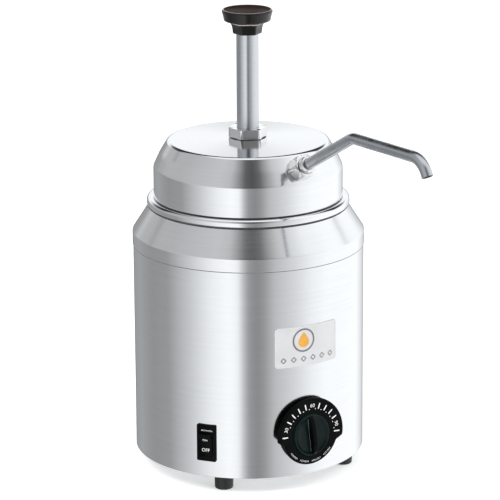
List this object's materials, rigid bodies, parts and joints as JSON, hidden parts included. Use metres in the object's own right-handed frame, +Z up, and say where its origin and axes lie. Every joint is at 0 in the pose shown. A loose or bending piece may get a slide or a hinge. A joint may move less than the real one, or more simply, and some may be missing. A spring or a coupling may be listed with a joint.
{
  "type": "nacho cheese dispenser",
  "caption": "Countertop heated round dispenser for cheese sauce: stainless housing with dial and rocker switch, lift-out jar, and a domed lid with hand pump and long bent spout.",
  "frame": {"origin": "on the housing's vertical axis, at the plane of the feet's undersides", "axes": "+Z up along the plunger; -Y towards the spout, dial and nameplate; +X to the right seen from the back"},
  "size_m": [0.201, 0.3582, 0.4009],
  "materials": {
    "brushed_stainless": "brushed",
    "polished_stainless": "polished",
    "spring_steel": "satin",
    "zinc_screw": "zinc plated",
    "foot_rubber": "matte",
    "seal_rubber": "matte",
    "insulation": "glass fibre felt",
    "element_sheath": "oxidised",
    "black_control": "semi gloss",
    "black_knob": "gloss",
    "nylon": "matte",
    "copper": "plain",
    "ceramic": "matte",
    "wire_sleeve": "matte",
    "plate_print": "satin",
    "pump_plastic": "matte"
  },
  "bodies": {
    "housing": {"outer_shell": "brushed_stainless", "shoulder_ring": "brushed_stainless", "base_plate": "brushed_stainless", "foot_front_left": "foot_rubber", "foot_front_right": "foot_rubber", "foot_rear_left": "foot_rubber", "foot_rear_right": "foot_rubber", "foot_screws": "zinc_screw", "foot_nuts": "zinc_screw", "base_screws": "zinc_screw", "base_brackets": "brushed_stainless", "heating_well": "brushed_stainless", "insulation_blanket": "insulation", "heating_element": "element_sheath", "element_clamp": "brushed_stainless", "clamp_stud": "zinc_screw", "clamp_nut": "zinc_screw", "thermal_cutoff": "ceramic", "thermostat_body": "nylon", "thermostat_screws": "zinc_screw", "sensing_bulb": "copper", "capillary_tube": "copper", "switch_housing": "black_control", "cord_gland": "nylon", "gland_nut": "nylon", "terminal_block": "ceramic", "lead_wires": "wire_sleeve", "nameplate": "plate_print"},
    "dial": {"thermostat_shaft": "zinc_screw", "temperature_dial": "black_control"},
    "rocker": {"switch_rocker": "black_control"},
    "jar": {"food_jar": "brushed_stainless"},
    "lid_and_pump": {"lid": "brushed_stainless", "lock_collar": "polished_stainless", "pump_cylinder": "polished_stainless", "cylinder_washer": "seal_rubber", "valve_body": "polished_stainless", "ball_retainer": "polished_stainless", "discharge_tube": "polished_stainless", "riser_nut": "polished_stainless", "outlet_fitting": "polished_stainless", "fitting_gasket": "seal_rubber", "spout_nut": "polished_stainless", "spout_ferrule": "polished_stainless", "spout": "brushed_stainless", "spring_seat": "polished_stainless", "return_spring": "spring_steel"},
    "plunger": {"plunger_tube": "brushed_stainless", "tube_plug": "polished_stainless", "knob_stud": "zinc_screw", "plunger_knob": "black_knob", "stop_ring": "polished_stainless", "piston": "pump_plastic", "piston_seal": "seal_rubber"},
    "inlet_check": {"inlet_ball": "polished_stainless"},
    "outlet_check": {"outlet_ball": "polished_stainless"}
  },
  "joints": [
    {"name": "dial_turn", "type": "hinge", "parent": "housing", "child": "dial", "pos_m": [0, -0.1052, 0.0508], "axis": [0, -1, 0], "range_deg": [-90, 90]},
    {"name": "rocker_press", "type": "hinge", "parent": "housing", "child": "rocker", "pos_m": [-0.07586, -0.06077, 0.0446], "axis": [-0.6252, 0.7804, 0], "range_deg": [0, 22]},
    {"name": "jar_lift", "type": "slide", "parent": "housing", "child": "jar", "axis": [0, 0, 1], "range_m": [0, 0.16]},
    {"name": "lid_lift", "type": "slide", "parent": "jar", "child": "lid_and_pump", "axis": [0, 0, 1], "range_m": [0, 0.16]},
    {"name": "plunger_press", "type": "slide", "parent": "lid_and_pump", "child": "plunger", "axis": [0, 0, -1], "range_m": [0, 0.06], "stiffness_N_per_m": 300, "springref_m": -0.03, "deforming": ["return_spring"]},
    {"name": "inlet_ball_lift", "type": "slide", "parent": "lid_and_pump", "child": "inlet_check", "axis": [0, 0, 1], "range_m": [0, 0.003]},
    {"name": "outlet_ball_lift", "type": "slide", "parent": "lid_and_pump", "child": "outlet_check", "axis": [0, 0, 1], "range_m": [0, 0.003]}
  ]
}
